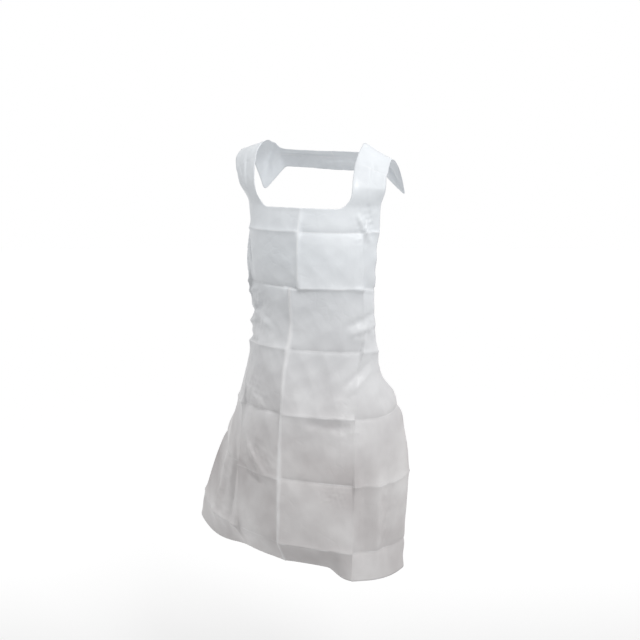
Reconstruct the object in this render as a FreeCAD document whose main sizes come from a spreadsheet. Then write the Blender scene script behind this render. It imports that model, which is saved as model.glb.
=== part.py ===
import FreeCAD, Part
import math
import os

import Sketcher
from FreeCAD import Placement, Rotation, Vector

# A disposable film apron, in the shape it takes on a standing wearer who isn't there.
# The wearer faces -Y, so +X is the wearer's left. +Z is up, sizes are in millimetres, and the
# origin lies between the shoulder straps, level with the tops of the shoulders they rest on.
# The real film is thinner than paper, so each region of it is a sheet of stand-in thickness.

SIZES = {
    # The flat die-cut sheet.
    "thickness": 1.2,
    "seam_gap": 0.6,
    "cut_width": 711.2,
    "bib_width": 431.8,
    "strap_width": 82.55,
    "nape_width": 63.5,
    "quarter_fold": 177.8,
    "tie_width": 38.0,
    # Heights below the tops of the shoulders.
    "neckline_level": -139.0,
    "chest_level": -250.0,
    "waist_level": -450.0,
    "hip_level": -646.0,
    "hem_level": -1012.0,
    # Where the middle of the front stands at those heights.
    "neckline_front": -112.0,
    "chest_front": -130.0,
    "waist_front": -120.0,
    "hip_front": -148.0,
    "hem_front": -165.0,
    # Radius of the front's curve, seen from above.
    "neckline_radius": 240.0,
    "chest_radius": 240.0,
    "waist_radius": 200.0,
    "hip_radius": 240.0,
    "hem_radius": 320.0,
    # Each side flap's direction where it leaves the front, and how far it turns, in degrees.
    "waist_left_start": 51.0,
    "waist_left_turn": 119.0,
    "hip_left_start": 56.0,
    "hip_left_turn": 70.0,
    "hem_left_start": 65.0,
    "hem_left_turn": 10.0,
    "waist_right_start": 51.0,
    "waist_right_turn": 119.0,
    "hip_right_start": 46.0,
    "hip_right_turn": 60.0,
    "hem_right_start": 30.0,
    "hem_right_turn": 8.0,
    # Shoulder straps: depth and drop of their middle line in front, on top and behind.
    "shoulder_slope": 20.0,
    "collar_depth": -36.0,
    "collar_drop": 58.0,
    "shoulder_depth": 10.0,
    "strap_end_depth": 58.0,
    "strap_end_drop": 18.0,
    # The band behind the neck: its middle and its two ends.
    "nape_middle_depth": 96.0,
    "nape_middle_drop": 38.0,
    "nape_end_depth": 87.0,
    "nape_end_drop": 53.0,
    "nape_slope": 37.0,
    # Waist ties, knotted behind the waist.
    "knot_depth": 108.0,
    "knot_rise": 20.0,
    "knot_length": 28.0,
    "knot_thickness": 22.0,
    "knot_height": 28.0,
    "tie_reach": 112.0,
    "loop_length": 88.0,
    "loop_thickness": 9.0,
    "loop_droop": 25.0,
    "tail_depth": 122.0,
    "tail_length": 230.0,
    "tail_width": 30.0,
    "tail_gap": 3.0,
}

LEFT, RIGHT = 1, -1

doc = FreeCAD.newDocument("film_apron")
sheet = doc.addObject("Spreadsheet::Sheet", "film")
sheet.Label = "film"
for row, (alias, value) in enumerate(SIZES.items(), start=1):
    sheet.set(f"A{row}", alias)
    sheet.set(f"B{row}", str(value))
    sheet.setAlias(f"B{row}", alias)
doc.recompute()


def size(alias):
    """The number that the sheet holds under this name."""
    return float(getattr(sheet, alias))


def bound(text):
    """An expression in which each word that names a size is looked up in the sheet."""
    return " ".join(f"<<film>>.{word}" if word in SIZES else word for word in text.split())


def hand(side):
    return "left" if side == LEFT else "right"


# Sketches


def new_body(name):
    body = doc.addObject("PartDesign::Body", name)
    body.Label = name
    return body


def new_sketch(body, name, placement):
    sketch = body.newObject("Sketcher::SketchObject", name)
    floor_plane = next(
        feature for feature in body.Origin.OriginFeatures if feature.Role == "XY_Plane"
    )
    sketch.AttachmentSupport = [(floor_plane, "")]
    sketch.MapMode = "FlatFace"
    sketch.AttachmentOffset = placement
    return sketch


def constrain(sketch, name, constraint, expression):
    """Adds a named dimension that follows the sheet."""
    index = sketch.addConstraint(constraint)
    sketch.renameConstraint(index, name)
    sketch.setExpression(f"Constraints.{name}", bound(expression))


def on_arc(centre, radius, angle):
    """A point on an arc seen from above. Angle 0 faces the front and turns towards +X."""
    turn = math.radians(angle)
    return Vector(centre.x + radius * math.sin(turn), centre.y - radius * math.cos(turn), 0)


def arc_band(body, zone, centre, radius, radius_words, start, end):
    """Film cut level at one height: a band between two arcs about one centre."""
    sketch = new_sketch(
        body, f"{body.Label}_{zone}", Placement(Vector(0, 0, size(f"{zone}_level")), Rotation())
    )
    sketch.setExpression(".AttachmentOffset.Base.z", bound(f"{zone}_level"))
    half = size("thickness") / 2
    first, last = min(start, end), max(start, end)
    for arc_radius in (radius + half, radius - half):
        circle = Part.Circle(centre, Vector(0, 0, 1), arc_radius)
        sketch.addGeometry(
            Part.ArcOfCircle(circle, math.radians(first - 90), math.radians(last - 90))
        )
    for angle in (first, last):
        sketch.addGeometry(
            Part.LineSegment(
                on_arc(centre, radius + half, angle), on_arc(centre, radius - half, angle)
            )
        )
    outer, inner, first_end, last_end = range(4)
    for arc, line_point in ((outer, 1), (inner, 2)):
        sketch.addConstraint(Sketcher.Constraint("Coincident", arc, 1, first_end, line_point))
        sketch.addConstraint(Sketcher.Constraint("Coincident", arc, 2, last_end, line_point))
    sketch.addConstraint(Sketcher.Constraint("Coincident", outer, 3, inner, 3))
    for line in (first_end, last_end):
        sketch.addConstraint(Sketcher.Constraint("PointOnObject", outer, 3, line))
    constrain(
        sketch,
        "outer_radius",
        Sketcher.Constraint("Radius", outer, radius + half),
        f"{radius_words} + thickness / 2",
    )
    constrain(
        sketch,
        "inner_radius",
        Sketcher.Constraint("Radius", inner, radius - half),
        f"{radius_words} - thickness / 2",
    )
    return sketch


def strip_section(body, name, placement, width_words):
    """A strip of film cut across: a thin rectangle about the sketch's own centre."""
    sketch = new_sketch(body, name, placement)
    x, y = size(width_words) / 2, size("thickness") / 2
    corners = [Vector(-x, -y, 0), Vector(x, -y, 0), Vector(x, y, 0), Vector(-x, y, 0)]
    for index, corner in enumerate(corners):
        sketch.addGeometry(Part.LineSegment(corner, corners[(index + 1) % 4]))
    for index in range(4):
        sketch.addConstraint(Sketcher.Constraint("Coincident", index, 2, (index + 1) % 4, 1))
    for index, kind in enumerate(("Horizontal", "Vertical", "Horizontal", "Vertical")):
        sketch.addConstraint(Sketcher.Constraint(kind, index))
    sketch.addConstraint(Sketcher.Constraint("Symmetric", 0, 1, 2, 1, -1, 1))
    constrain(
        sketch, "wide", Sketcher.Constraint("DistanceX", 0, 1, 0, 2, 2 * x), width_words
    )
    constrain(
        sketch, "thick", Sketcher.Constraint("DistanceY", 1, 1, 1, 2, 2 * y), "thickness"
    )
    return sketch


def facing(point, across, along):
    """A placement whose X runs across a strip and whose Z runs along it."""
    across = Vector(across).normalize()
    along = Vector(along) - across * across.dot(along)
    along.normalize()
    return Placement(point, Rotation(across, along.cross(across), along, "ZXY"))


# Features


def loft(body, sketches):
    feature = body.newObject("PartDesign::AdditiveLoft", f"{body.Label}_loft")
    feature.Profile = sketches[0]
    feature.Sections = sketches[1:]
    body.Tip = feature


def pad(body, sketch, length_words):
    feature = body.newObject("PartDesign::Pad", f"{body.Label}_pad")
    feature.Profile = sketch
    feature.Length = size(length_words)
    feature.setExpression("Length", bound(length_words))
    body.Tip = feature


def ellipsoid(name, length_words, depth_words, height_words, placement):
    solid = doc.addObject("Part::Ellipsoid", name)
    solid.Label = name
    for radius, words in (
        ("Radius1", height_words),
        ("Radius2", length_words),
        ("Radius3", depth_words),
    ):
        solid.setExpression(radius, bound(f"{words} / 2"))
    solid.Placement = placement
    return solid


# The bib and the skirt, lofted through their level sections


def front_centre(zone):
    return Vector(0, size(f"{zone}_front") + size(f"{zone}_radius"), 0)


def fold_angle(zone, length):
    """How far round the front's arc a length of film reaches, in degrees."""
    return math.degrees(length / size(f"{zone}_radius"))


def front_band(body, zone, half_width):
    reach = fold_angle(zone, half_width)
    radius_cell = f"{zone}_radius"
    centre = front_centre(zone)
    return arc_band(body, zone, centre, size(radius_cell), radius_cell, -reach, reach)


def bib():
    body = new_body("bib")
    half_width = size("bib_width") / 2
    loft(body, [front_band(body, zone, half_width) for zone in ("waist", "chest", "neckline")])
    return body


def skirt_front():
    body = new_body("skirt_front")
    half_width = size("quarter_fold") - size("seam_gap") / 2
    loft(body, [front_band(body, zone, half_width) for zone in ("waist", "hip", "hem")])
    body.Placement = Placement(Vector(0, 0, -size("seam_gap")), Rotation())
    return body


def flap_band(body, zone, side):
    """A side flap cut level: an arc from the quarter fold to the film's cut edge."""
    start = size(f"{zone}_{hand(side)}_start")
    turn = size(f"{zone}_{hand(side)}_turn")
    width = size("cut_width") / 2 - size("quarter_fold") - size("seam_gap")
    radius = width / math.radians(turn)
    fold = on_arc(
        front_centre(zone),
        size(f"{zone}_radius"),
        fold_angle(zone, size("quarter_fold") + size("seam_gap")),
    )
    centre = fold - on_arc(Vector(), radius, start)
    centre.x *= side
    radius_words = (
        f"( cut_width / 2 - quarter_fold - seam_gap ) / ( {zone}_{hand(side)}_turn * pi / 180 )"
    )
    return arc_band(body, zone, centre, radius, radius_words, side * start, side * (start + turn))


def skirt_flap(side):
    body = new_body(f"skirt_{hand(side)}_flap")
    loft(body, [flap_band(body, zone, side) for zone in ("waist", "hip", "hem")])
    body.Placement = Placement(Vector(0, 0, -size("seam_gap")), Rotation())
    return body


# The neck loop: two straps over the shoulders and the band that joins them behind the neck


def strap_station(stage, side):
    """Where a strap's middle is at a stage of its way, and how it lies there."""
    middle = (size("bib_width") - size("strap_width")) / 2
    round_chest = fold_angle("neckline", middle)
    chest = math.radians(round_chest)
    slope = math.radians(size("shoulder_slope"))
    neckline = on_arc(front_centre("neckline"), size("neckline_radius"), round_chest)
    top = size("thickness") / 2
    stations = {
        "neckline": (
            Vector(neckline.x, neckline.y, size("neckline_level") + size("seam_gap")),
            Vector(math.cos(chest), math.sin(chest), 0),
            Vector(0, 0, 1),
        ),
        "collar": (
            Vector(middle, size("collar_depth"), -size("collar_drop")),
            Vector(math.cos(chest / 2), math.sin(chest / 2), -math.sin(slope) / 2),
            Vector(0, 0.4, 0.9),
        ),
        "shoulder": (
            Vector(middle, size("shoulder_depth"), top),
            Vector(math.cos(slope), 0, -math.sin(slope)),
            Vector(0, 1, 0),
        ),
        "strap_end": (
            Vector(middle, size("strap_end_depth"), -size("strap_end_drop")),
            Vector(math.cos(slope / 2), 0, -math.sin(slope / 2)),
            Vector(0, 0.8, -0.6),
        ),
    }
    point, across, along = stations[stage]
    mirrored = Vector(side * point.x, point.y, point.z)
    return mirrored, Vector(across.x, side * across.y, side * across.z), along


def strap(name, stages, side, start_trim):
    """A length of strap lofted through its stations. start_trim keeps its first end clear."""
    body = new_body(name)
    sketches = []
    for index, stage in enumerate(stages):
        point, across, along = strap_station(stage, side)
        if index == 0:
            point = point + Vector(along).normalize() * start_trim
        place = facing(point, across, along)
        sketches.append(strip_section(body, f"{name}_{stage}", place, "strap_width"))
    loft(body, sketches)
    return body


def nape_band():
    body = new_body("nape_band")
    slope = math.radians(size("nape_slope"))
    down_the_back = Vector(0, math.cos(slope), -math.sin(slope))
    reach = size("bib_width") / 2
    sketches = []
    for x, zone in ((-reach, "end"), (0, "middle"), (reach, "end")):
        point = Vector(x, size(f"nape_{zone}_depth"), -size(f"nape_{zone}_drop"))
        place = facing(point, down_the_back, Vector(1, 0, 0))
        sketches.append(strip_section(body, f"nape_{zone}_{len(sketches)}", place, "nape_width"))
    loft(body, sketches)
    return body


# The waist ties: each runs from the skirt's top corner to the knot, then into a loop and a tail


def knot_centre():
    return Vector(0, size("knot_depth"), size("waist_level") + size("knot_rise"))


def waist_tie(side):
    body = new_body(f"{hand(side)}_waist_tie")
    radius = (size("cut_width") / 2 - size("quarter_fold")) / math.radians(
        size(f"waist_{hand(side)}_turn")
    )
    start = size(f"waist_{hand(side)}_start")
    fold = on_arc(
        front_centre("waist"), size("waist_radius"), fold_angle("waist", size("quarter_fold"))
    )
    flap_centre = fold - on_arc(Vector(), radius, start)
    corner = on_arc(flap_centre, radius, start + size(f"waist_{hand(side)}_turn"))
    knot_end = Vector(size("knot_length") / 4, size("knot_depth"), 0)
    along_tie = (corner - knot_end).normalize()
    middle = knot_end + along_tie * (size("tie_reach") / 2)
    across = Vector(side * along_tie.x, along_tie.y, 0)
    point = Vector(side * middle.x, middle.y, size("waist_level") + size("seam_gap"))
    place = facing(point, across, Vector(0, 0, 1))
    section = strip_section(body, f"{body.Label}_section", place, "tie_reach")
    pad(body, section, "tie_width")
    return body


def tie_knot():
    return ellipsoid(
        "tie_knot",
        "knot_length",
        "knot_thickness",
        "knot_height",
        Placement(knot_centre(), Rotation()),
    )


def bow_loop(side):
    droop = Rotation(Vector(0, 1, 0), side * size("loop_droop"))
    outward = droop.multVec(Vector(side, 0, 0))
    middle = knot_centre() + outward * (size("loop_length") / 2 + size("knot_length") / 4)
    return ellipsoid(
        f"{hand(side)}_bow_loop",
        "loop_length",
        "loop_thickness",
        "tie_width",
        Placement(middle + Vector(0, size("loop_thickness") / 2, 0), droop),
    )


def tie_tail(side):
    body = new_body(f"{hand(side)}_tie_tail")
    top = knot_centre().z - size("knot_height") / 2 - size("tail_gap")
    x = side * (size("tail_width") / 2 + size("tail_gap") / 2)
    place = facing(Vector(x, size("tail_depth"), top), Vector(1, 0, 0), Vector(0, 0, -1))
    pad(body, strip_section(body, f"{body.Label}_section", place, "tail_width"), "tail_length")
    return body


def apron():
    pieces = [bib(), skirt_front(), nape_band(), tie_knot()]
    for side in (LEFT, RIGHT):
        pieces.append(skirt_flap(side))
        pieces.append(strap(f"{hand(side)}_strap", ("neckline", "collar", "shoulder"), side, 0))
        pieces.append(
            strap(f"{hand(side)}_nape_strap", ("shoulder", "strap_end"), side, size("seam_gap"))
        )
        pieces.append(waist_tie(side))
        pieces.append(bow_loop(side))
        pieces.append(tie_tail(side))
    return pieces


pieces = apron()
doc.recompute()
failed = [item.Label for item in doc.Objects if {"Invalid", "Error"} & set(item.State)]
failed += [item.Label for item in pieces if item.Shape.isNull() or not item.Shape.isValid()]
if failed:
    raise RuntimeError(f"these didn't build: {failed}")
os.makedirs("parts", exist_ok=True)
for piece in pieces:
    piece.Shape.exportStep(f"parts/{piece.Label}.step")
    print(f"{piece.Label}: {piece.Shape.Volume / 1000:.1f} cm3")
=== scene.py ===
import math

import bpy
import numpy as np
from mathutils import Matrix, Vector


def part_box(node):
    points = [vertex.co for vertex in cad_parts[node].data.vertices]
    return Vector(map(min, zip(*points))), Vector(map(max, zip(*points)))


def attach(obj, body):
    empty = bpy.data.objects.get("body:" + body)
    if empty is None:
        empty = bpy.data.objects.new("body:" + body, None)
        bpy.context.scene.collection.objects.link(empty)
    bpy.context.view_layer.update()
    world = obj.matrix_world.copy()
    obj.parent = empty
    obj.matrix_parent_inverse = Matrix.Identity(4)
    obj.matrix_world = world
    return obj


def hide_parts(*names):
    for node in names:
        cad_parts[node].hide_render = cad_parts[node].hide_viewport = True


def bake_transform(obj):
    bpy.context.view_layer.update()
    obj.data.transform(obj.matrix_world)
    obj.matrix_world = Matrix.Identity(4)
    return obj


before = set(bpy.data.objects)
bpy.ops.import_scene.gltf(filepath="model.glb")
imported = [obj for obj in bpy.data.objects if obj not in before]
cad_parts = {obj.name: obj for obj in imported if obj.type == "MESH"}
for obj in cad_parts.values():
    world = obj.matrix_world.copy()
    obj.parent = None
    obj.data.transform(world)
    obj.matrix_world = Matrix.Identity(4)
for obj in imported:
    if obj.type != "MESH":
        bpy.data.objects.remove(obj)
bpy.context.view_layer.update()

# The flat die-cut sheet, in metres, on a grid of quarter inches. s runs across it from the
# middle and t up it from the hem. FOLD is where the quarter creases are.
STEP = 0.00635
HALF_COLUMNS = 56
ROWS = 184
HALF_WIDTH = HALF_COLUMNS * STEP
FOLD = HALF_WIDTH / 2
HALF_BIB = 34 * STEP
HALF_NECK = 21 * STEP
WAIST = 88 * STEP
NECKLINE = 140 * STEP
SHOULDER = 164 * STEP
NAPE = 174 * STEP
TOP = ROWS * STEP
NECK_CORNER = 0.034
NAPE_CORNER = 0.02
WAIST_CORNER = 0.016
TOP_CORNER = 0.012
# How far beyond a rounded corner the grid's points move with it, in radii.
CORNER_REACH = 2.4
# The level packing creases, and where the middle one runs on the bib and on the skirt.
HEM_CREASE = 10 * STEP
CREASE_SPACING = 24 * STEP
BIB_CREASE = 2 * STEP
SKIRT_CREASE = -1.5 * STEP
SKIRT_CREASE_TOP = HEM_CREASE + 4 * CREASE_SPACING
FILM_THICKNESS = 0.0004

# Heights of the waist, the hem and the neckline as the apron hangs.
WAIST_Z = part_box("skirt_front")[1].z
HEM_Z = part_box("skirt_front")[0].z
NECKLINE_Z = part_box("bib")[1].z

# Keeps a division away from zero, and is the slack in a comparison.
TINY = 1e-9


def smooth(low, high, value):
    """0 at low and before it, 1 at high and past it, and an easy slope between."""
    x = np.clip((value - low) / (high - low), 0, 1)
    return x * x * (3 - 2 * x)


def bump(centre, width, value):
    """1 at the centre, falling to 0 at about one width away."""
    return np.exp(-(((value - centre) / width) ** 2))


# The flat sheet


def inside_cut(s, t):
    """Whether a place is within the skirt, the bib, a strap or the band behind the neck."""
    across = np.abs(s)
    if t < WAIST:
        return across < HALF_WIDTH
    if t < NECKLINE or t > NAPE:
        return across < HALF_BIB
    return HALF_NECK < across < HALF_BIB


def flat_sheet():
    """The die-cut sheet as a grid: its points (s, t) and its faces."""
    columns = np.arange(-HALF_COLUMNS, HALF_COLUMNS + 1)
    rows = np.arange(ROWS + 1)
    index = {}
    points = []
    faces = []

    def point(i, j):
        if (i, j) not in index:
            index[i, j] = len(points)
            points.append((i * STEP, j * STEP))
        return index[i, j]

    for j in rows[:-1]:
        for i in columns[:-1]:
            if inside_cut((i + 0.5) * STEP, (j + 0.5) * STEP):
                faces.append([point(i, j), point(i + 1, j), point(i + 1, j + 1), point(i, j + 1)])
    return np.array(points), faces


def round_corner(flat, corner, toward, radius):
    """Moves the points round a corner of the cut so that its edge follows an arc.

    corner is where the straight edges meet and toward is the way, by sign, from the arc's
    centre to it. The film may be on either side of the arc."""
    centre = np.array(corner) - np.array(toward) * radius
    local = (flat - centre) * np.array(toward)
    distance = np.linalg.norm(local, axis=1)
    reach = CORNER_REACH * radius
    near = (local.min(1) >= -TINY) & (distance < reach) & (distance > TINY)
    # How far off the straight edges are in each point's direction.
    along = np.maximum(local[:, 0], local[:, 1])
    square = np.where(along > 0, radius * distance / np.maximum(along, TINY), radius)
    outside = near & (distance >= square - TINY)
    share = (distance - square) / np.maximum(reach - square, TINY)
    moved = np.where(outside, radius + share * (reach - radius), distance)
    inner = near & ~outside
    ratio = distance / np.maximum(square, TINY)
    moved = np.where(inner, distance * (1 + (radius / square - 1) * ratio**3), moved)
    scale = np.where(near, moved / np.maximum(distance, TINY), 1)
    return centre + local * scale[:, None] * np.array(toward)


def die_cut(flat):
    """The grid with the corners of the neck opening, the bib and the band rounded."""
    for side in (-1, 1):
        flat = round_corner(flat, (side * HALF_NECK, NECKLINE), (side, -1), NECK_CORNER)
        flat = round_corner(flat, (side * HALF_NECK, NAPE), (side, 1), NAPE_CORNER)
        flat = round_corner(flat, (side * HALF_BIB, WAIST), (-side, -1), WAIST_CORNER)
        flat = round_corner(flat, (side * HALF_BIB, TOP), (side, 1), TOP_CORNER)
    return flat


# The shape that the sheet starts from, which is close to how it hangs

# Height, depth of the front's middle, radius of its curve, then for the left flap and the
# right one the direction in which it leaves the quarter fold and how far it turns.
LEVELS = [
    (NECKLINE_Z, -0.112, 0.240, 51, 40, 51, 40),
    (-0.250, -0.130, 0.240, 51, 60, 51, 60),
    (WAIST_Z, -0.120, 0.200, 51, 119, 51, 119),
    (-0.646, -0.148, 0.240, 40, 62, 38, 58),
    (HEM_Z, -0.165, 0.320, 60, 12, 21, 8),
]
# How much lower the waist hangs on the wearer's left, as a slope across it.
SKEW = -0.04
# How much longer the skirt hangs at its side edges than in the middle.
HEM_DIP_LEFT = 0.11
HEM_DIP_RIGHT = 0.06
# Where a strap's middle line runs to the side, how far it leans out on its way up, and how far
# the band behind the neck bows back.
STRAP_SIDE = 0.157
STRAP_LEAN = 0.011
NAPE_BOW = 0.008
# How a strap faces: turned with the bib at first, sloping with the shoulders further up, and
# sloping more behind the neck. It has its full lean and slope this far above the neckline.
STRAP_TURN = math.radians(41)
STRAP_SLOPE = math.radians(20)
NAPE_SLOPE = math.radians(18)
STRAP_RISE = 0.14
# How far above the neckline the bib's shape goes over into the straps'.
STRAP_BLEND = 8 * STEP
# Depth and height of a strap's middle line, from the neckline to the top edge behind the neck.
STRAP_LINE = [
    (-0.0533, -0.139),
    (-0.0400, -0.085),
    (-0.0130, -0.022),
    (0.0100, -0.001),
    (0.0450, -0.009),
    (0.0900, -0.045),
    (0.1100, -0.070),
]


def easy_table(rows, at):
    """Each column of a table read at the places given, with no kinks where the rows are."""
    rows = np.array(sorted(rows), float)
    columns = []
    for column in rows[:, 1:].T:
        slope = np.gradient(column, rows[:, 0])
        k = np.clip(np.searchsorted(rows[:, 0], at) - 1, 0, len(rows) - 2)
        gap = rows[k + 1, 0] - rows[k, 0]
        x = np.clip((at - rows[k, 0]) / gap, 0, 1)
        start = 2 * x**3 - 3 * x**2 + 1
        columns.append(
            start * column[k]
            + (1 - start) * column[k + 1]
            + gap * ((x**3 - 2 * x**2 + x) * slope[k] + (x**3 - x**2) * slope[k + 1])
        )
    return columns


def level_point(s, z):
    """Where the sheet is at a height, s along it from the middle, without its own height."""
    front, radius, left_start, left_turn, right_start, right_turn = easy_table(LEVELS, z)
    side = np.sign(s)
    across = np.abs(s)
    on_front = np.minimum(across, FOLD)
    x = radius * np.sin(on_front / radius)
    y = front + radius * (1 - np.cos(on_front / radius))
    start = np.radians(np.where(s > 0, left_start, right_start))
    turn = np.radians(np.where(s > 0, left_turn, right_turn))
    flap_radius = (HALF_WIDTH - FOLD) / turn
    turned = np.maximum(across - FOLD, 0) / flap_radius
    x = x + flap_radius * (np.sin(start + turned) - np.sin(start))
    y = y + flap_radius * (np.cos(start) - np.cos(start + turned))
    return side * x, y


def hang_share(s):
    """How long the skirt hangs at a place across it, as a share of its length in the middle."""
    return 1 + np.where(s > 0, HEM_DIP_LEFT, HEM_DIP_RIGHT) * (s / HALF_WIDTH) ** 2


def hung_down(s, t):
    """The bib and skirt, each column of the sheet keeping its length as it goes down."""
    low = np.minimum(t, WAIST) * (WAIST_Z - HEM_Z) / WAIST
    high = np.maximum(t - WAIST, 0) * (NECKLINE_Z - WAIST_Z) / (NECKLINE - WAIST)
    level = HEM_Z + low + high
    x, y = level_point(s, level)
    z = level + SKEW * x * smooth(-NECKLINE_Z, -WAIST_Z, -level)
    columns = np.round(s / STEP)
    for number in np.unique(columns):
        column = np.flatnonzero((columns == number) & (t <= WAIST + TINY))
        column = column[np.argsort(-t[column])]
        drop = np.diff(t[column]) * hang_share(number * STEP)
        run = np.hypot(np.diff(x[column]), np.diff(y[column]))
        fall = np.sqrt(np.maximum(drop**2 - run**2, TINY))
        z[column[1:]] = z[column[0]] - np.cumsum(fall)
    return np.stack([x, y, z], axis=1)


def strap_point(s, t):
    """Where the sheet is above the neckline: up a strap, over the shoulder, behind the neck."""
    line = np.array(STRAP_LINE)
    lengths = np.concatenate([[0], np.cumsum(np.linalg.norm(np.diff(line, axis=0), axis=1))])
    rows = [(length, y, z) for length, (y, z) in zip(lengths, line)]
    along = (t - NECKLINE) * lengths[-1] / (TOP - NECKLINE)
    y, z = easy_table(rows, along)
    middle = (HALF_BIB + HALF_NECK) / 2
    up = smooth(0, STRAP_RISE, t - NECKLINE)
    turned = STRAP_TURN * (1 - up)
    slope = STRAP_SLOPE * up + NAPE_SLOPE * smooth(SHOULDER, TOP, t)

    def across_strap(off):
        side = STRAP_SIDE + STRAP_LEAN * up + off * np.cos(turned) * np.cos(slope)
        return side, y + off * np.sin(turned), z - off * np.sin(slope)

    side, y_on, z_on = across_strap(np.abs(s) - middle)
    strap = np.stack([np.sign(s) * side, y_on, z_on], axis=1)
    side, y_in, z_in = across_strap(HALF_NECK - middle)
    share = np.clip(np.abs(s) / HALF_NECK, 0, 1)
    band = np.stack([s / HALF_NECK * side, y_in + NAPE_BOW * (1 - share**2), z_in], axis=1)
    behind_neck = (np.abs(s) < HALF_NECK) & (t > (NAPE + SHOULDER) / 2)
    return np.where(behind_neck[:, None], band, strap)


def start_shape(flat):
    """The whole sheet as it is hung up, before the simulation settles it."""
    s, t = flat.T
    share = smooth(NECKLINE - STEP, NECKLINE + STRAP_BLEND, t)[:, None]
    return (1 - share) * hung_down(s, t) + share * strap_point(s, t)


# Meshes


def new_mesh(name, points, faces):
    """A mesh object in the scene."""
    mesh = bpy.data.meshes.new(name)
    mesh.from_pydata([tuple(p) for p in points], [], faces)
    mesh.update()
    piece = bpy.data.objects.new(name, mesh)
    bpy.context.scene.collection.objects.link(piece)
    return piece


def points_of(mesh):
    """A mesh's points as rows of x, y and z."""
    co = np.zeros(len(mesh.vertices) * 3)
    mesh.vertices.foreach_get("co", co)
    return co.reshape(-1, 3)


def set_points(mesh, points):
    mesh.vertices.foreach_set("co", np.asarray(points, float).ravel())
    mesh.update()


# The wearer who isn't there: a plain trunk and thighs that the film is draped on, then removed

# Height, middle in x and y, half width and half depth.
TRUNK = [
    (0.130, 0.0, 0.010, 0.060, 0.060),
    (0.045, 0.0, 0.012, 0.070, 0.060),
    (0.012, 0.0, 0.012, 0.125, 0.055),
    (-0.004, 0.0, 0.012, 0.165, 0.060),
    (-0.024, 0.0, 0.012, 0.200, 0.075),
    (-0.060, 0.0, 0.012, 0.212, 0.092),
    (-0.130, 0.0, 0.010, 0.196, 0.116),
    (-0.230, 0.0, 0.000, 0.180, 0.122),
    (-0.330, 0.0, -0.004, 0.166, 0.112),
    (-0.440, 0.0, -0.006, 0.156, 0.104),
    (-0.540, 0.0, -0.004, 0.168, 0.112),
    (-0.640, 0.0, 0.000, 0.180, 0.118),
    (-0.720, -0.010, 0.000, 0.176, 0.110),
]
THIGHS = [
    [(-0.600, -0.085, 0.0, 0.092, 0.112), (-0.800, -0.130, -0.010, 0.088, 0.096),
     (-1.100, -0.185, -0.010, 0.078, 0.080)],
    [(-0.600, 0.085, 0.0, 0.092, 0.112), (-0.800, 0.100, -0.012, 0.088, 0.098),
     (-1.100, 0.118, -0.015, 0.078, 0.084)],
]
# How many points each of their rings has.
ROUND = 40

# How many frames the simulation runs, and how firmly the film that isn't tied keeps to the
# shape that it starts from. The neck loop is held fully from a little behind the shoulders, and
# so is the root of each waist tie: a strip in from the side edge, below the skirt's top.
DRAPE_FRAMES = 45
LOOSE_HOLD = 0.25
LOOP_HELD_FROM = SHOULDER + 0.01
ROOT_STRIP = (0.02, 0.005)
ROOT_HEIGHT = 0.03
# How much the simulation's fine ripples keep, and how far they are eased out.
RIPPLE_SHARE = 0.2
RIPPLE_ROUNDS = 40
# How the draped bib and straps sit to one side and lower on the wearer's left.
BIB_SHIFT = 0.014
NECKLINE_DROP = 0.0165
NECKLINE_TILT = 0.035
SHOULDER_DROP = 0.003
SHOULDER_TILT = 0.08
# Heights over which the chest, the shoulders and the waist set in, the places across over which
# the wearer's left half does, and how far back the move to one side has died away.
CHEST_RISE = (-0.32, -0.12)
SHOULDER_RISE = (-0.12, -0.01)
WAIST_RISE = (-0.55, -0.42)
LEFT_HALF = (-0.15, 0.05)
BACK_FROM = 0.05


def ring_form(name, rings, spacing=0.02):
    """A closed form through level rings, given as height, middle and half sizes."""
    count = int(abs(rings[0][0] - rings[-1][0]) / spacing)
    heights = np.linspace(rings[0][0], rings[-1][0], count)
    x, y, wide, deep = easy_table(rings, heights)
    angles = np.linspace(0, 2 * math.pi, ROUND, endpoint=False)
    points = np.stack(
        [
            x[:, None] + wide[:, None] * np.cos(angles),
            y[:, None] + deep[:, None] * np.sin(angles),
            np.repeat(heights[:, None], ROUND, 1),
        ],
        axis=2,
    ).reshape(-1, 3)
    faces = [
        [
            row * ROUND + k,
            (row + 1) * ROUND + k,
            (row + 1) * ROUND + (k + 1) % ROUND,
            row * ROUND + (k + 1) % ROUND,
        ]
        for row in range(count - 1)
        for k in range(ROUND)
    ]
    faces.append(list(range(ROUND)))
    faces.append([(count - 1) * ROUND + k for k in reversed(range(ROUND))])
    return new_mesh(name, points, faces)


def hold(flat):
    """How firmly each point is held: the ties' ends and the neck loop fully, the rest softly."""
    s, t = flat.T
    loose_side, held_side = ROOT_STRIP
    root = smooth(HALF_WIDTH - loose_side, HALF_WIDTH - held_side, np.abs(s))
    root = root * ((t > WAIST - ROOT_HEIGHT) & (t <= WAIST + TINY))
    held = np.maximum(root, t > LOOP_HELD_FROM)
    return np.maximum(held, LOOSE_HOLD)


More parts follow.
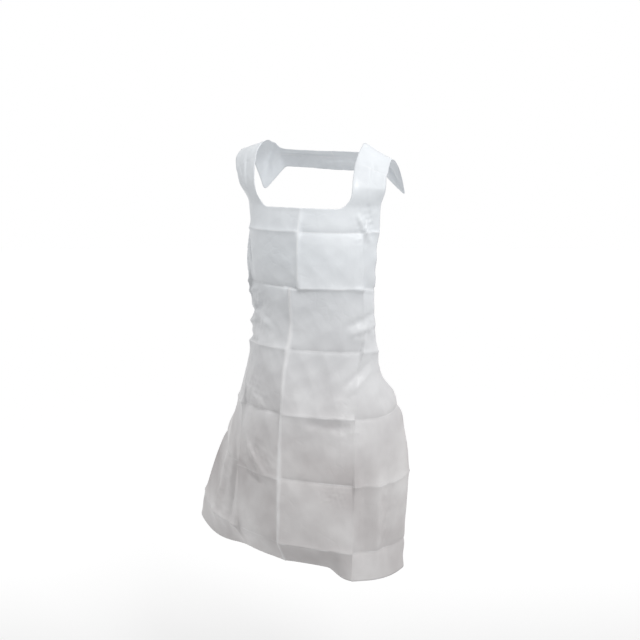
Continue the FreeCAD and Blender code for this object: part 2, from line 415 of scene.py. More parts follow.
def drape(sheet, flat):
    """Hangs the sheet on the wearer by cloth simulation and leaves it in that shape."""
    wearer = [ring_form("trunk", TRUNK)] + [ring_form("thigh", rings) for rings in THIGHS]
    for form in wearer:
        form.modifiers.new("solid", "COLLISION")
        form.collision.thickness_outer = 0.004
        form.collision.cloth_friction = 8
    group = sheet.vertex_groups.new(name="held")
    for index, weight in enumerate(hold(flat)):
        group.add([index], float(weight), "REPLACE")
    sheet.shape_key_add(name="start")
    cut = sheet.shape_key_add(name="cut")
    s, t = flat.T
    cut_up = np.where(t < WAIST, WAIST - (WAIST - t) * hang_share(s), t)
    for index, (across, up) in enumerate(zip(s, cut_up)):
        cut.data[index].co = (across, 0, up)
    cloth = sheet.modifiers.new("cloth", "CLOTH")
    settings = cloth.settings
    settings.rest_shape_key = cut
    settings.vertex_group_mass = "held"
    settings.quality = 6
    settings.mass = 0.006
    settings.air_damping = 2.0
    settings.tension_stiffness = 60
    settings.compression_stiffness = 60
    settings.shear_stiffness = 40
    settings.bending_stiffness = 2.0
    settings.pin_stiffness = 1.0
    settings.tension_damping = 8
    settings.compression_damping = 8
    settings.shear_damping = 8
    settings.bending_damping = 1
    cloth.collision_settings.distance_min = 0.003
    cloth.collision_settings.collision_quality = 2
    cloth.point_cache.frame_end = DRAPE_FRAMES
    scene = bpy.context.scene
    for number in range(1, DRAPE_FRAMES + 1):
        scene.frame_set(number)
    evaluated = sheet.evaluated_get(bpy.context.evaluated_depsgraph_get())
    draped = points_of(evaluated.data)
    sheet.modifiers.remove(cloth)
    sheet.shape_key_clear()
    sheet.vertex_groups.clear()
    set_points(sheet.data, draped)
    scene.frame_set(1)
    for form in wearer:
        bpy.data.objects.remove(form)


def broad_part(start, draped, edges):
    """The draped shape with the finest ripples of the simulation eased out."""
    moved = draped - start
    broad = moved.copy()
    count = np.bincount(edges.ravel(), minlength=len(start))
    for _ in range(RIPPLE_ROUNDS):
        for k in range(3):
            total = np.bincount(edges[:, 0], broad[edges[:, 1], k], len(start))
            total += np.bincount(edges[:, 1], broad[edges[:, 0], k], len(start))
            broad[:, k] += 0.5 * (total / count - broad[:, k])
    return start + broad + RIPPLE_SHARE * (moved - broad)


def settled(points):
    """The draped shape moved to one side and down as it hangs on a wearer who leans."""
    x, y, z = points.T
    chest = smooth(*CHEST_RISE, z)
    shoulder = smooth(*SHOULDER_RISE, z)
    wide = smooth(*WAIST_RISE, z) * smooth(*LEFT_HALF, x)
    aside = BIB_SHIFT * np.maximum(chest, wide) * (1 - shoulder) * smooth(BACK_FROM, 0, y)
    low = chest * (1 - shoulder) * (NECKLINE_DROP + NECKLINE_TILT * x)
    low += chest * shoulder * (SHOULDER_DROP + SHOULDER_TILT * x)
    return np.stack([x + aside, y, z - low], axis=1)


def refined(points, faces, subdivision):
    """The points and faces of a surface after one subdivision."""
    piece = new_mesh("coarse", points, faces)
    finer = piece.modifiers.new("finer", "SUBSURF")
    finer.subdivision_type = subdivision
    finer.levels = 1
    mesh = piece.evaluated_get(bpy.context.evaluated_depsgraph_get()).to_mesh()
    fine_points = points_of(mesh)
    fine_faces = [list(polygon.vertices) for polygon in mesh.polygons]
    bpy.data.objects.remove(piece)
    return fine_points, fine_faces


def normals_of(points, faces):
    """The unit normal at each point of a surface of four-sided faces."""
    corners = points[np.array(faces)]
    across = np.cross(corners[:, 2] - corners[:, 0], corners[:, 3] - corners[:, 1])
    normals = np.zeros_like(points)
    for k in range(3):
        for corner in np.array(faces).T:
            normals[:, k] += np.bincount(corner, across[:, k], len(points))
    return normals / np.maximum(np.linalg.norm(normals, axis=1, keepdims=True), TINY)


def shell(name, points, normals, faces, cut):
    """A closed piece of film: the surface moved half its thickness each way, joined at its edge.

    cut is each point's place on the flat sheet, which the material reads."""
    used = np.unique(np.array(faces))
    number = {int(old): new for new, old in enumerate(used)}
    faces = [[number[v] for v in face] for face in faces]
    points, normals, cut = points[used], normals[used], cut[used]
    count = len(points)
    half = normals * FILM_THICKNESS / 2
    directed = {(face[k - 1], face[k]) for face in faces for k in range(4)}
    rim = [
        [b, a, a + count, b + count] for a, b in sorted(directed) if (b, a) not in directed
    ]
    inside = [[v + count for v in reversed(face)] for face in faces]
    piece = new_mesh(name, np.concatenate([points + half, points - half]), faces + inside + rim)
    piece.data.polygons.foreach_set("use_smooth", [True] * len(piece.data.polygons))
    place = np.zeros((2 * count, 3))
    place[:, :2] = np.concatenate([cut, cut])
    attribute = piece.data.attributes.new("cut", "FLOAT_VECTOR", "POINT")
    attribute.data.foreach_set("vector", place.ravel())
    return piece


# The film's own creases, folds and crumples, as moves along its outward normal

# How proud a packing crease stands, how much of that is sharp, and how far each part reaches.
CREASE_HEIGHT = 0.0062
CREASE_SHARPNESS = 0.4
CREASE_REACH = 0.006
CREASE_SOFT_REACH = 0.030
# How steeply and how far the film falls away from the middle crease, and where that fades.
MIDDLE_SLOPE = 0.22
MIDDLE_REACH = 0.06
MIDDLE_FADE = 0.05
# The quarter creases, which fade out about the waist.
FOLD_HEIGHT = 0.35 * CREASE_HEIGHT
FOLD_REACH = 0.010
FOLD_FADE = 0.04
# How far panels belly in and out, and the ripple along a free edge.
PANEL_SAG = (-0.005, 0.006)
PANEL_SEED = 11
EDGE_HEIGHT = 0.0016
EDGE_REACH = 0.012
EDGE_LENGTH = 0.11
# How far the hem's band is turned back, in degrees: under the front, at the wearer's left, the
# places across the sheet between which that changes, and the share left at the right corner.
HEM_TURN = 36
HEM_TURN_LEFT = 4
HEM_TURN_ENDS = (0.170, 0.110)
CORNER_TURN = 0.4
# Long soft folds: where each starts and ends on the flat sheet, its width and its height.
SOFT_FOLDS = [
    # From the wearer's left corner of the neck opening down the armhole.
    ((0.150, 0.880), (0.197, 0.790), 0.007, 0.0045),
    ((0.172, 0.905), (0.205, 0.800), 0.009, -0.0035),
    # Puckers at the wearer's right armhole.
    ((-0.205, 0.850), (-0.165, 0.730), 0.006, 0.0040),
    ((-0.190, 0.830), (-0.150, 0.700), 0.008, -0.0035),
    ((-0.212, 0.790), (-0.185, 0.690), 0.005, 0.0030),
    # Pulled in at the waist on the wearer's right.
    ((-0.225, 0.585), (-0.085, 0.622), 0.009, -0.0065),
    ((-0.230, 0.560), (-0.120, 0.578), 0.008, 0.0060),
    ((-0.215, 0.640), (-0.120, 0.660), 0.007, 0.0040),
    ((-0.240, 0.545), (-0.110, 0.520), 0.009, -0.0050),
    ((-0.200, 0.610), (-0.050, 0.560), 0.010, 0.0035),
    # Pulled in at the waist on the wearer's left.
    ((0.120, 0.578), (0.225, 0.618), 0.010, -0.0040),
    ((0.130, 0.560), (0.235, 0.590), 0.008, 0.0032),
    ((0.140, 0.440), (0.225, 0.515), 0.010, -0.0034),
    ((0.150, 0.425), (0.235, 0.490), 0.008, 0.0028),
    ((0.150, 0.672), (0.216, 0.668), 0.006, 0.0030),
    # Down the skirt below the waist on both sides.
    ((-0.197, 0.430), (-0.057, 0.368), 0.009, 0.0040),
    ((-0.140, 0.290), (-0.050, 0.215), 0.008, 0.0060),
    ((-0.175, 0.225), (-0.050, 0.195), 0.009, -0.0062),
    ((0.040, 0.352), (0.165, 0.345), 0.012, -0.0045),
    ((0.205, 0.300), (0.215, 0.020), 0.014, -0.0070),
    ((0.238, 0.280), (0.255, 0.010), 0.013, 0.0060),
    ((0.275, 0.260), (0.295, 0.010), 0.014, -0.0060),
    ((-0.205, 0.260), (-0.225, 0.020), 0.016, -0.0100),
    ((-0.270, 0.260), (-0.290, 0.010), 0.016, 0.0060),
    # Along the band behind the neck, and where the straps turn into it.
    ((-0.150, 1.128), (0.060, 1.120), 0.006, 0.0030),
    ((-0.050, 1.146), (0.160, 1.142), 0.007, -0.0030),
    ((0.110, 1.060), (0.205, 1.150), 0.010, 0.0050),
    ((-0.110, 1.060), (-0.205, 1.150), 0.010, 0.0050),
]
CRUMPLE_WAVES = 7
# Patches of crumpled film: middle, reach across and up, size of a crumple, and its height.
CRUMPLES = [
    ((-0.150, 0.600), (0.070, 0.055), 0.020, 0.0026),
    ((-0.120, 0.400), (0.060, 0.035), 0.018, 0.0024),
    ((-0.095, 0.250), (0.060, 0.035), 0.019, 0.0026),
    ((0.130, 0.190), (0.030, 0.020), 0.012, 0.0018),
    ((0.190, 0.560), (0.045, 0.060), 0.020, 0.0022),
    ((-0.190, 0.770), (0.030, 0.070), 0.014, 0.0020),
    ((0.175, 0.850), (0.030, 0.060), 0.016, 0.0018),
    ((0.160, 0.350), (0.045, 0.030), 0.018, 0.0018),
    ((-0.270, 0.120), (0.060, 0.080), 0.022, 0.0026),
    ((0.280, 0.150), (0.050, 0.090), 0.024, 0.0022),
    ((0.300, 0.520), (0.060, 0.060), 0.022, 0.0030),
    ((-0.300, 0.520), (0.060, 0.060), 0.022, 0.0030),
    ((0.0, 0.500), (0.300, 0.400), 0.050, 0.0022),
    ((0.0, 1.150), (0.200, 0.050), 0.022, 0.0018),
    ((0.175, 1.000), (0.045, 0.060), 0.022, 0.0014),
    ((-0.175, 1.000), (0.045, 0.060), 0.022, 0.0014),
]


def fold_line(cut, start, end, width):
    """1 along a line on the sheet, falling off beside it and toward its ends."""
    start, end = np.array(start), np.array(end)
    length = np.linalg.norm(end - start)
    along_way = (end - start) / length
    along = (cut - start) @ along_way
    off = (cut - start) @ np.array([-along_way[1], along_way[0]])
    taper = smooth(-width, 0.3 * length, along) * smooth(-length - width, -0.7 * length, -along)
    return taper * bump(0, width, off)


def crumpled(cut, size, seed):
    """Sharp ridges that cross one another at random, about one size apart."""
    source = np.random.default_rng(seed)
    total = np.zeros(len(cut))
    for _ in range(CRUMPLE_WAVES):
        way = source.uniform(0, math.pi)
        wave = source.uniform(0.7, 1.6) * size
        place = cut @ np.array([math.cos(way), math.sin(way)]) / wave
        bend = 0.5 * np.sin(cut @ np.array([-math.sin(way), math.cos(way)]) / (1.7 * size))
        total += 0.5 - np.abs(np.sin(place * math.pi + bend + source.uniform(0, 6)))
    return total / 3


def packing_creases(s, t):
    """The creases from being folded flat, each a ridge on one half and a groove on the other."""
    middle = np.where(t > SKIRT_CREASE_TOP, BIB_CREASE, SKIRT_CREASE)
    from_middle = np.abs(s - middle)
    number = np.round((t - HEM_CREASE) / CREASE_SPACING)
    off = np.abs(t - HEM_CREASE - number * CREASE_SPACING)
    up_or_down = np.where(number % 2 == 0, 1, -1) * np.where(np.abs(s) > FOLD, -1, 1)
    side = up_or_down * np.sign(s - middle)
    sharp = CREASE_SHARPNESS * np.exp(-off / CREASE_REACH)
    soft = (1 - CREASE_SHARPNESS) * np.exp(-off / CREASE_SOFT_REACH)
    level = CREASE_HEIGHT * (sharp + soft) * side
    level = level * smooth(CREASE_SPACING / 2, CREASE_SPACING / 4, off)
    level = level * smooth(0, CREASE_REACH, from_middle) * smooth(SHOULDER, NECKLINE, t)
    ridge = CREASE_SHARPNESS * CREASE_HEIGHT * np.exp(-from_middle / CREASE_REACH)
    ridge -= MIDDLE_SLOPE * MIDDLE_REACH * (1 - np.exp(-from_middle / MIDDLE_REACH))
    ridge = ridge * smooth(NECKLINE + MIDDLE_FADE, NECKLINE, t)
    from_fold = np.abs(np.abs(s) - FOLD)
    fold = FOLD_HEIGHT * np.exp(-from_fold / FOLD_REACH)
    fold = fold * smooth(WAIST + FOLD_FADE, WAIST - FOLD_FADE, t)
    return level + ridge + fold


def panel_sag(s, t):
    """How each panel between creases bellies in or out."""
    across = np.floor(s / FOLD).astype(int)
    up = np.floor((t - HEM_CREASE) / CREASE_SPACING).astype(int)
    source = np.random.default_rng(PANEL_SEED)
    heights = source.uniform(*PANEL_SAG, (8, 12))
    height = heights[np.clip(across + 3, 0, 7), np.clip(up + 2, 0, 11)]
    u = (s / FOLD) % 1
    v = ((t - HEM_CREASE) / CREASE_SPACING) % 1
    return height * np.sin(math.pi * u) * np.sin(math.pi * v)


def loose_edge(s, t):
    """The ripple along the bib's and skirt's free side edges."""
    edge = np.where(t > WAIST, HALF_BIB, HALF_WIDTH)
    near = np.exp(-np.abs(edge - np.abs(s)) / EDGE_REACH) * (t < SHOULDER)
    uneven = 2.1 * np.sign(s) + 3 * np.sin(t * 17)
    return EDGE_HEIGHT * near * np.sin(2 * math.pi * t / EDGE_LENGTH + uneven)


def detailed(points, normals, cut):
    """The hung surface with all its creases, folds and crumples, and its hem turned."""
    s, t = cut.T
    out = packing_creases(s, t) + panel_sag(s, t) + loose_edge(s, t)
    for start, end, width, height in SOFT_FOLDS:
        out += height * fold_line(cut, start, end, width)
    for seed, (middle, reach, size, height) in enumerate(CRUMPLES):
        near = bump(middle[0], reach[0], s) * bump(middle[1], reach[1], t)
        out += height * near * crumpled(cut, size, seed)
    points = points + normals * out[:, None]
    return turned_hem(points, normals, s, t)


def turned_hem(points, normals, s, t):
    """The band below the lowest crease, turned back under the front and straight at the left."""
    turn = np.radians(HEM_TURN_LEFT + (HEM_TURN - HEM_TURN_LEFT) * smooth(*HEM_TURN_ENDS, s))
    turn = turn * (CORNER_TURN + (1 - CORNER_TURN) * smooth(-HALF_WIDTH, -FOLD, s))
    depth = np.maximum(HEM_CREASE - t, 0)
    down = np.array([0, 0, -1]) + normals * normals[:, 2:3]
    down /= np.linalg.norm(down, axis=1, keepdims=True)
    shift = down * (np.cos(turn) - 1)[:, None] - normals * np.sin(turn)[:, None]
    return points + depth[:, None] * shift


# The whole sheet, hung and then split over the shoulders

flat, faces = flat_sheet()
flat = die_cut(flat)
s, t = flat.T
started = start_shape(flat)
film = new_mesh("sheet", started, faces)
hung = started
drape(film, flat)
edges = np.array([edge.vertices[:] for edge in film.data.edges])
hung = settled(broad_part(started, points_of(film.data), edges))
bpy.data.objects.remove(film)

body, body_faces = refined(hung, faces, "CATMULL_CLARK")
cut, _ = refined(np.stack([s, 0 * s, t], axis=1), faces, "SIMPLE")
cut = cut[:, [0, 2]]
normals = normals_of(body, body_faces)
body = detailed(body, normals, cut)
normals = normals_of(body, body_faces)
middle_t = cut[np.array(body_faces), 1].mean(axis=1)
front_faces = [face for face, mid in zip(body_faces, middle_t) if mid < SHOULDER]
neck_faces = [face for face, mid in zip(body_faces, middle_t) if mid > SHOULDER]
front_film = shell("front_film", body, normals, front_faces, cut)
neck_film = shell("neck_film", body, normals, neck_faces, cut)

# The waist ties: strips cut from beside the bib, gathered into pleats, knotted into a bow

# A tie's width, and its length from the skirt to the knot, round a loop, hanging down, and for
# the turn round the knot. Then how many pleats each is gathered into.
TIE_WIDTH = 0.0381
ROOT_LENGTH = 0.12
LOOP_LENGTH = 0.185
TAIL_LENGTH = 0.24
KNOT_LENGTH = 0.08
PLEATS = 3
KNOT_PLEATS = 4
# How deep a pleat is, against one that would take up all of the gathered width.
PLEAT_SHARE = 0.5
# The spacing of a strip's points along it, and how many there are across it.
RIBBON_STEP = 0.002
RIBBON_COLUMNS = 49
BOW_DROOP = math.radians(25)

KNOT_LOW, KNOT_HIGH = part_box("tie_knot")
KNOT = (KNOT_LOW + KNOT_HIGH) / 2


def ribbon(name, stations, pleats, length):
    """A tie's strip of film along a smooth line through the stations.

    Each station is a point of its middle, the way across it there and how wide it is. Where
    it is narrower than its cut it gathers into pleats. length is the strip's own length."""
    rows = [[*middle, *across, width] for middle, across, width in stations]
    middles = np.array(rows)[:, :3]
    along = np.concatenate([[0], np.cumsum(np.linalg.norm(np.diff(middles, axis=0), axis=1))])
    ordered = [[place, *row] for place, row in zip(along, rows)]
    at = np.linspace(0, along[-1], int(along[-1] / RIBBON_STEP) + 1)
    columns = np.stack(easy_table(ordered, at), axis=1)
    middle, across, width = columns[:, :3], columns[:, 3:6], columns[:, 6]
    forward = np.gradient(middle, axis=0)
    forward /= np.linalg.norm(forward, axis=1, keepdims=True)
    across -= forward * (across * forward).sum(1, keepdims=True)
    across /= np.linalg.norm(across, axis=1, keepdims=True)
    out = np.cross(across, forward)
    v = np.linspace(-0.5, 0.5, RIBBON_COLUMNS)
    depth = np.sqrt(np.maximum(TIE_WIDTH**2 - width**2, 0)) / (2 * pleats)
    way = (at / along[-1])[:, None]
    # The pleats shift and differ in depth along the tie and across it, so none is regular.
    wander = 0.9 * np.sin(5 * way + 1.3) + 1.1 * np.sin(7 * v[None, :] + 4 * way)
    wave = np.sin(2 * math.pi * pleats * v[None, :] + wander) * PLEAT_SHARE
    wave *= 0.75 + 0.25 * np.sin(11 * v[None, :] - 3 * way)
    points = (
        middle[:, None, :]
        + across[:, None, :] * (v[None, :] * width[:, None])[:, :, None]
        + out[:, None, :] * (wave * depth[:, None])[:, :, None]
    ).reshape(-1, 3)
    faces = [
        [row * RIBBON_COLUMNS + k, row * RIBBON_COLUMNS + k + 1,
         (row + 1) * RIBBON_COLUMNS + k + 1, (row + 1) * RIBBON_COLUMNS + k]
        for row in range(len(at) - 1)
        for k in range(RIBBON_COLUMNS - 1)
    ]
    cut = np.stack(
        [np.tile(v * TIE_WIDTH, len(at)), np.repeat(at * length / along[-1], RIBBON_COLUMNS)],
        axis=1,
    )
    return shell(name, points, normals_of(points, faces), faces, cut)


def waist_tie(hand, side, root):
    """From the skirt's top corner round to the knot."""
    end = KNOT + Vector((side * 0.008, -0.004, 0))
    down = (0, 0, -1)
    stations = [
        (root, down, 0.037),
        (root.lerp(end, 0.3) + Vector((0, 0.006, -0.002)), down, 0.030),
        (root.lerp(end, 0.7) + Vector((0, 0.007, -0.002)), down, 0.021),
        (end, down, 0.015),
    ]
    return ribbon(f"{hand}_waist_tie_film", stations, PLEATS, ROOT_LENGTH)


def bow_loop(hand, side):
    """Out from the knot behind it, round, and back in, opened wide in the middle."""
    drooped = Vector((side * math.cos(BOW_DROOP), 0, -math.sin(BOW_DROOP)))
    up = Vector((side * math.sin(BOW_DROOP), 0, math.cos(BOW_DROOP)))
    # How far out, how far behind the front of the loop, and how wide.
    line = [(0.004, 0.010, 0.013), (0.024, 0.017, 0.022), (0.050, 0.022, 0.031),
            (0.072, 0.019, 0.036), (0.079, 0.009, 0.037), (0.070, 0.001, 0.035),
            (0.046, -0.001, 0.030), (0.022, 0.002, 0.021), (0.004, 0.004, 0.013)]
    stations = [
        (KNOT + drooped * out + Vector((0, deep - 0.004, 0)), up, width)
        for out, deep, width in line
    ]
    return ribbon(f"{hand}_bow_loop_film", stations, PLEATS, LOOP_LENGTH)


def tie_tail(hand, side):
    """Out from under the knot and down, turning a little this way and that."""
    low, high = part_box(f"{hand}_tie_tail")
    middle = (low + high) / 2
    top = Vector((KNOT.x + side * 0.006, middle.y - 0.004, KNOT_LOW.z + 0.004))
    down = Vector((middle.x, middle.y, high.z))
    fall = high.z - low.z
    stations = [
        (top, (1, 0, 0), 0.014),
        (down + Vector((0, 0.001, -0.10 * fall)), (1, 0.1 * side, 0), 0.022),
        (down + Vector((side * 0.003, 0.003, -0.4 * fall)), (1, 0.35 * side, 0), 0.031),
        (down + Vector((-side * 0.002, 0.000, -0.7 * fall)), (1, -0.15 * side, 0), 0.034),
        (down + Vector((side * 0.004, 0.004, -fall)), (1, 0.25 * side, 0), 0.036),
    ]
    return ribbon(f"{hand}_tie_tail_film", stations, PLEATS, TAIL_LENGTH)


def tie_knot():
    """The turn of film that holds the ties together, wound round them."""
    deep = (KNOT_HIGH.y - KNOT_LOW.y) / 2 - 0.002
    tall = (KNOT_HIGH.z - KNOT_LOW.z) / 2 - 0.002
    stations = []
    for turn in np.linspace(-0.55 * math.pi, 1.65 * math.pi, 12):
        middle = KNOT + Vector((0, deep * math.cos(turn), tall * math.sin(turn)))
        middle += Vector((0.002 * turn / math.pi, 0, 0))
        stations.append((middle, (1, 0, 0.2 * math.sin(turn)), 0.019))
    return ribbon("tie_knot_film", stations, KNOT_PLEATS, KNOT_LENGTH)


# The film's materials

# Colours of the film: cooler on the bib; darker and more neutral on the skirt, which is painted
# shade for the light falling off toward the hem and the dark clothes behind the film; and whiter
# along the creases, partly the film's own stress whitening and partly painted highlight.
BIB_CLOUDY = (0.74, 0.77, 0.80)
BIB_MILKY = (0.81, 0.84, 0.87)
SKIRT_SHADED_CLOUDY = (0.57, 0.545, 0.545)
SKIRT_SHADED_MILKY = (0.75, 0.735, 0.735)
# White for the creases: stress whitening of the film, and painted highlight along them and down
# the middle crease.
CREASE_WHITE_AND_HIGHLIGHT = (0.90, 0.90, 0.91)
# Where up the sheet the skirt's painted shade goes over into the bib's colours.
SKIRT_SHADE_RISE = (0.25, 0.75)
# How fine the noises are that cloud, grain, crinkle and gloss the film, and that break up the
# whitening and painted highlight along its creases.
CLOUD_SCALE = 7.0
GRAIN_SCALE = 240.0
CRINKLE_SCALE = 38.0
CRINKLE_PATCH_SCALE = 9.0
CREASE_WEAR_AND_HIGHLIGHT_SCALE = 22.0
RIDGE_HIGHLIGHT_SCALE = 14.0
GLOSS_SCALE = 18.0
# The Mix node's colour sockets, by number because their names repeat.
MIX_FIRST = 6
MIX_SECOND = 7
MIX_RESULT = 2


class Shading:
    """A material's nodes, with the few kinds that the film needs."""

    def __init__(self, tree, place):
        self.nodes = tree.nodes
        self.links = tree.links
        attribute = self.nodes.new("ShaderNodeAttribute")
        attribute.attribute_name = place
        self.place = attribute.outputs["Vector"]

    def feed(self, socket, value):
        """Sets a socket to a number or a colour, or links another node's output to it."""
        if isinstance(value, bpy.types.NodeSocket):
            self.links.new(value, socket)
        elif isinstance(value, tuple):
            socket.default_value = (*value, 1)
        else:
            socket.default_value = value

    def noise(self, scale, detail):
        node = self.nodes.new("ShaderNodeTexNoise")
        self.feed(node.inputs["Scale"], scale)
        self.feed(node.inputs["Detail"], detail)
        self.feed(node.inputs["Vector"], self.place)
        return node.outputs["Fac"]

    def ramp(self, value, low, high, start=0.0, end=1.0):
        node = self.nodes.new("ShaderNodeMapRange")
        self.feed(node.inputs["Value"], value)
        self.feed(node.inputs["From Min"], low)
        self.feed(node.inputs["From Max"], high)
        self.feed(node.inputs["To Min"], start)
        self.feed(node.inputs["To Max"], end)
        return node.outputs["Result"]

    def mixed(self, share, first, second):
        node = self.nodes.new("ShaderNodeMix")
        node.data_type = "RGBA"
        self.feed(node.inputs["Factor"], share)
        self.feed(node.inputs[MIX_FIRST], first)
        self.feed(node.inputs[MIX_SECOND], second)
        return node.outputs[MIX_RESULT]

    def maths(self, operation, first, second=0.0):
        node = self.nodes.new("ShaderNodeMath")
        node.operation = operation
        self.feed(node.inputs[0], first)
        self.feed(node.inputs[1], second)
        return node.outputs[0]


def grain_height(shading):
    """Fine grain all over, and sharp crinkles in patches."""
    grain = shading.maths("MULTIPLY", shading.noise(GRAIN_SCALE, 3.0), 0.25)
    crinkle = shading.nodes.new("ShaderNodeTexVoronoi")
    crinkle.feature = "DISTANCE_TO_EDGE"
    shading.feed(crinkle.inputs["Scale"], CRINKLE_SCALE)
    shading.feed(crinkle.inputs["Vector"], shading.place)
    patchy = shading.ramp(shading.noise(CRINKLE_PATCH_SCALE, 2.0), 0.48, 0.62)
    facet = shading.maths("MULTIPLY", shading.ramp(crinkle.outputs["Distance"], 0.0, 0.16), patchy)
    return shading.maths("ADD", grain, shading.maths("MULTIPLY", facet, 0.55))


def whitened_and_highlit_creases(shading, across, up, colour):
    """The colour with the packing creases whitened in it, partly as the film's stress whitening
    and partly as painted highlight, and how proud their lines stand.
    """
    above_lowest = shading.maths("SUBTRACT", up, HEM_CREASE)
    to_level = shading.maths("PINGPONG", above_lowest, CREASE_SPACING / 2)
    on_bib = shading.maths("GREATER_THAN", up, SKIRT_CREASE_TOP)
    middle = shading.ramp(on_bib, 0.0, 1.0, SKIRT_CREASE, BIB_CREASE)
    to_middle = shading.maths("ABSOLUTE", shading.maths("SUBTRACT", across, middle))
    line = shading.ramp(shading.maths("MINIMUM", to_level, to_middle), 0.0005, 0.0022, 1.0, 0.0)
    # Breaks the crease lines up unevenly: their stress whitening and painted highlight.
    wear_and_highlight = shading.ramp(shading.noise(CREASE_WEAR_AND_HIGHLIGHT_SCALE, 3.0), 0.38, 0.66, 0.0, 0.55)
    broken = shading.maths("MULTIPLY", line, wear_and_highlight)
    colour = shading.mixed(broken, colour, CREASE_WHITE_AND_HIGHLIGHT)
    # The middle crease is broader and whiter down the skirt: a painted highlight along its ridge.
    on_skirt = shading.maths("SUBTRACT", 1.0, on_bib)
    ridge = shading.ramp(to_middle, 0.001, 0.007, 1.0, 0.0)
    ridge = shading.maths("MULTIPLY", ridge, on_skirt)
    wear_and_highlight = shading.ramp(shading.noise(RIDGE_HIGHLIGHT_SCALE, 3.0), 0.35, 0.65, 0.3, 0.8)
    return shading.mixed(shading.maths("MULTIPLY", ridge, wear_and_highlight), colour, CREASE_WHITE_AND_HIGHLIGHT), broken


def film_material(name, creased):
    """Frosted film: cloudy white, softly shiny, finely wrinkled, whiter along its creases with
    stress whitening and painted highlight, and darker on the skirt with painted shade.
    """
    material = bpy.data.materials.new(name)
    material.use_nodes = True
    shading = Shading(material.node_tree, "cut")
    shader = shading.nodes["Principled BSDF"]
    shader.inputs["Specular IOR Level"].default_value = 0.45
    shader.inputs["IOR"].default_value = 1.5
    cloud = shading.ramp(shading.noise(CLOUD_SCALE, 3.0), 0.35, 0.65)
    colour = shading.mixed(cloud, BIB_CLOUDY, BIB_MILKY)
    height = grain_height(shading)
    if creased:
        split = shading.nodes.new("ShaderNodeSeparateXYZ")
        shading.feed(split.inputs[0], shading.place)
        across, up = split.outputs["X"], split.outputs["Y"]
        # The skirt's darker colours are painted shade, going over into the bib's colours up the
        # sheet.
        skirt = shading.mixed(cloud, SKIRT_SHADED_CLOUDY, SKIRT_SHADED_MILKY)
        colour = shading.mixed(shading.ramp(up, *SKIRT_SHADE_RISE), skirt, colour)
        colour, lines = whitened_and_highlit_creases(shading, across, up, colour)
        height = shading.maths("ADD", height, lines)
    shading.feed(shader.inputs["Base Color"], colour)
    gloss = shading.ramp(shading.noise(GLOSS_SCALE, 4.0), 0.3, 0.7, 0.38, 0.54)
    shading.feed(shader.inputs["Roughness"], gloss)
    relief = shading.nodes.new("ShaderNodeBump")
    relief.inputs["Strength"].default_value = 0.6
    relief.inputs["Distance"].default_value = 0.0006
    shading.feed(relief.inputs["Height"], height)
    shading.feed(shader.inputs["Normal"], relief.outputs["Normal"])
    return material


# What each piece moves with and stands for

film_look = film_material("film", True)
tie_look = film_material("tie_film", False)

front_film.data.materials.append(film_look)
neck_film.data.materials.append(film_look)
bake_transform(front_film)
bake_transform(neck_film)
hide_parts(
    "bib", "left_strap", "right_strap",
    "skirt_front", "skirt_left_flap", "skirt_right_flap",
)
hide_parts("left_nape_strap", "right_nape_strap", "nape_band")
both_straps = 2 * (HALF_BIB - HALF_NECK)
front_area = 2 * HALF_WIDTH * WAIST + 2 * HALF_BIB * (NECKLINE - WAIST)
front_area += both_straps * (SHOULDER - NECKLINE)

knot = tie_knot()
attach(knot, "apron_front")
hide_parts("tie_knot")
tie_pieces = [knot]
for hand, side in (("left", 1), ("right", -1)):
    corner = hung[np.argmin(np.hypot(s - side * HALF_WIDTH, t - WAIST))]
    root = Vector(corner) + Vector((-side * 0.002, -0.001, -TIE_WIDTH / 2))
    tie = waist_tie(hand, side, root)
    loop = bow_loop(hand, side)
    tail = tie_tail(hand, side)
    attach(tie, "apron_front")
    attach(loop, "apron_front")
    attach(tail, f"{hand}_tail")
    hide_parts(f"{hand}_waist_tie")
    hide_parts(f"{hand}_bow_loop")
    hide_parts(f"{hand}_tie_tail")
    tie_pieces += [tie, loop, tail]
for piece in tie_pieces:
    piece.data.materials.append(tie_look)

# Camera, floor and light

# The camera stands round to the wearer's left, a little below the shoulders, and looks slightly
# down. The small shift sets how high the apron is in the frame.
CAMERA_TURN = math.radians(27)
CAMERA_DISTANCE = 2.4
CAMERA_HEIGHT = -0.145
LENS = 55.0
SENSOR = 36.0
SHIFT = -0.07
AIM_SIDE = 0.018
TILT = 0.07

camera_data = bpy.data.cameras.new("camera")
camera_data.lens = LENS
camera_data.sensor_width = SENSOR
camera_data.shift_y = SHIFT
camera = bpy.data.objects.new("camera", camera_data)
bpy.context.scene.collection.objects.link(camera)
right = Vector((math.cos(CAMERA_TURN), math.sin(CAMERA_TURN), 0))
back = Vector((math.sin(CAMERA_TURN), -math.cos(CAMERA_TURN), 0))
camera.location = back * CAMERA_DISTANCE + right * AIM_SIDE + Vector((0, 0, CAMERA_HEIGHT))
look = -back * math.cos(TILT) - Vector((0, 0, 1)) * math.sin(TILT)
camera.rotation_mode = "QUATERNION"
camera.rotation_quaternion = look.to_track_quat("-Z", "Y")
bpy.context.scene.camera = camera

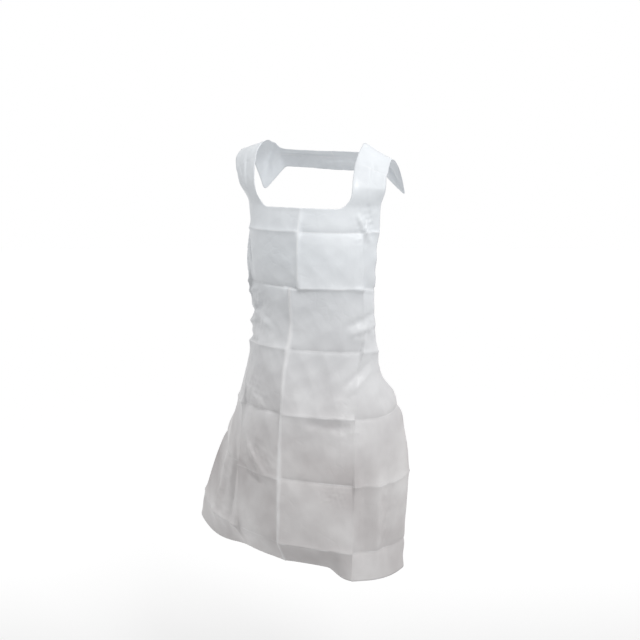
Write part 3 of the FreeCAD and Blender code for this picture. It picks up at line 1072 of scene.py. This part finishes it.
# A wide round floor as far below the shoulders as a wearer's feet.
FLOOR_Z = -1.5
FLOOR_REACH = 30.0
FLOOR_SIDES = 64
rim = np.linspace(0, 2 * math.pi, FLOOR_SIDES, endpoint=False)
floor_points = [(FLOOR_REACH * math.cos(a), FLOOR_REACH * math.sin(a), FLOOR_Z) for a in rim]
floor = new_mesh("floor", floor_points, [list(range(FLOOR_SIDES))])
paper = bpy.data.materials.new("paper")
paper.use_nodes = True
paper_nodes, paper_links = paper.node_tree.nodes, paper.node_tree.links
paper_shader = paper_nodes["Principled BSDF"]
paper_shader.inputs["Base Color"].default_value = (0.35, 0.35, 0.35, 1)
paper_shader.inputs["Roughness"].default_value = 0.9
paper_shader.inputs["Emission Color"].default_value = (1, 1, 1, 1)
floor.data.materials.append(paper)


def brighter_behind(nodes, links, coordinates, reach, low, high):
    """A brightness that grows from the camera's side of the stage to the far side."""
    place = nodes.new("ShaderNodeTexCoord")
    toward = nodes.new("ShaderNodeVectorMath")
    toward.operation = "DOT_PRODUCT"
    toward.inputs[1].default_value = -back
    links.new(place.outputs[coordinates], toward.inputs[0])
    spread = nodes.new("ShaderNodeMapRange")
    spread.interpolation_type = "SMOOTHSTEP"
    spread.inputs["From Min"].default_value = -reach
    spread.inputs["From Max"].default_value = reach
    spread.inputs["To Min"].default_value = low
    spread.inputs["To Max"].default_value = high
    links.new(toward.outputs["Value"], spread.inputs["Value"])
    return spread.outputs["Result"]


glow = brighter_behind(paper_nodes, paper_links, "Object", 1.5, 0.15, 0.72)
paper_links.new(glow, paper_shader.inputs["Emission Strength"])

bpy.context.scene.view_settings.view_transform = "Standard"
world = bpy.data.worlds.new("studio")
bpy.context.scene.world = world
world.use_nodes = True
sky = world.node_tree.nodes["Background"]
sky.inputs["Color"].default_value = (1, 1, 1, 1)
glow = brighter_behind(world.node_tree.nodes, world.node_tree.links, "Generated", 0.7, 0.37, 1.0)
world.node_tree.links.new(glow, sky.inputs["Strength"])


def soft_light(name, place, aim, size, power):
    """A square of soft light that faces a point."""
    lamp = bpy.data.lights.new(name, "AREA")
    lamp.energy = power
    lamp.size = size
    light = bpy.data.objects.new(name, lamp)
    bpy.context.scene.collection.objects.link(light)
    light.location = place
    light.rotation_mode = "QUATERNION"
    light.rotation_quaternion = (Vector(aim) - Vector(place)).to_track_quat("-Z", "Y")


soft_light("key", place=(1.6, -1.25, 1.1), aim=(0, 0, -0.35), size=0.7, power=34)
soft_light("fill", place=(-0.9, -1.3, 1.1), aim=(-0.1, 0, 0), size=0.8, power=4)
